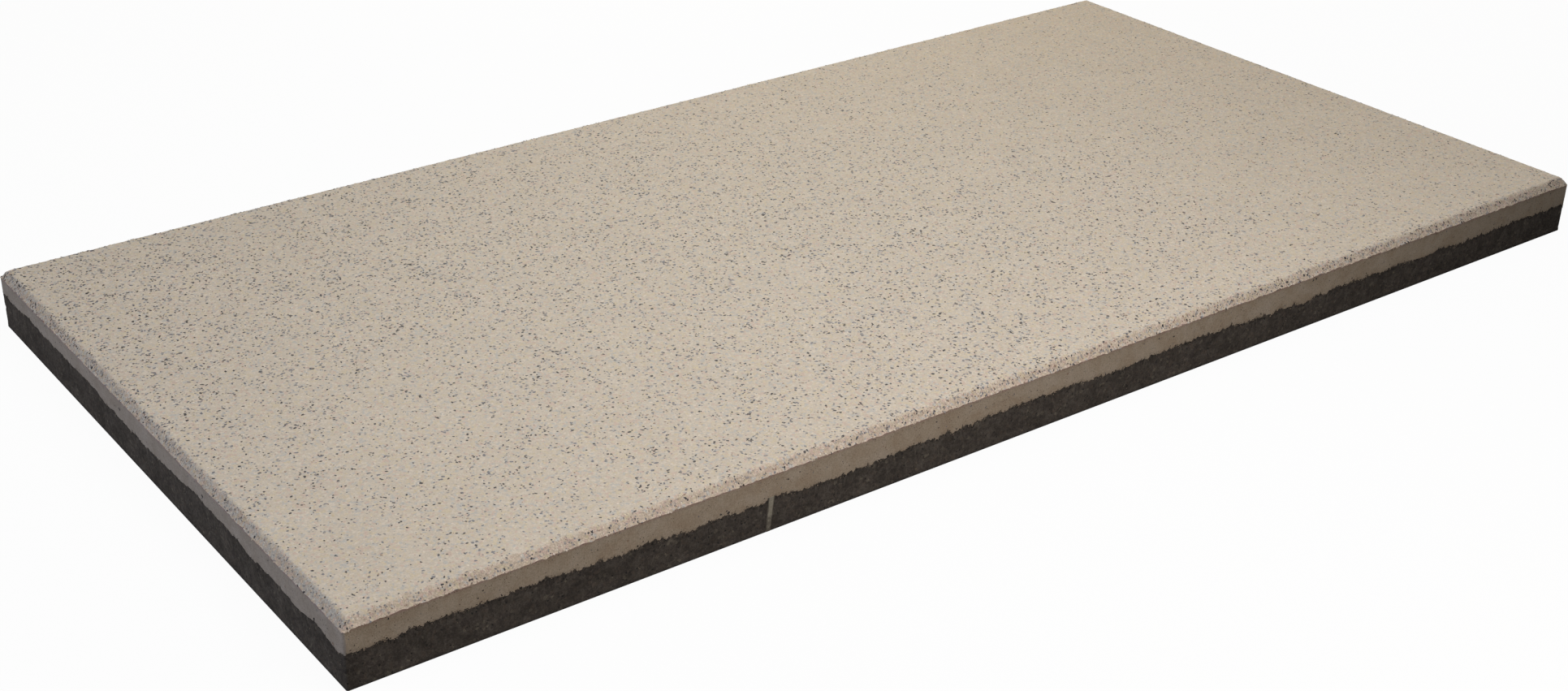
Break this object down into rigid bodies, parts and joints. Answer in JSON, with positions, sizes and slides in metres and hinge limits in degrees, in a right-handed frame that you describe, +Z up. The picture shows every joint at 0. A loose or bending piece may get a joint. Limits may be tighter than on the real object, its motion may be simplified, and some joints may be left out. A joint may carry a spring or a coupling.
{
  "type": "stone slab",
  "caption": "Flat rectangular two-layer pressed slab: pale speckled granite-chip face with chamfered top edges on a coarse dark core, for bedding, paving or as a hard work surface.",
  "frame": {"origin": "centre of the flat underside", "axes": "+X along the length, +Y along the width, +Z up out of the face layer"},
  "size_m": [1, 0.5, 0.042],
  "materials": {
    "face_stone": "fine-blasted, pale beige with dark, grey, buff and pink granite grains",
    "core_stone": "coarse, matt, dark brown-grey with small pits"
  },
  "bodies": {
    "root": {"face_layer": "face_stone", "core_layer": "core_stone"}
  },
  "joints": []
}
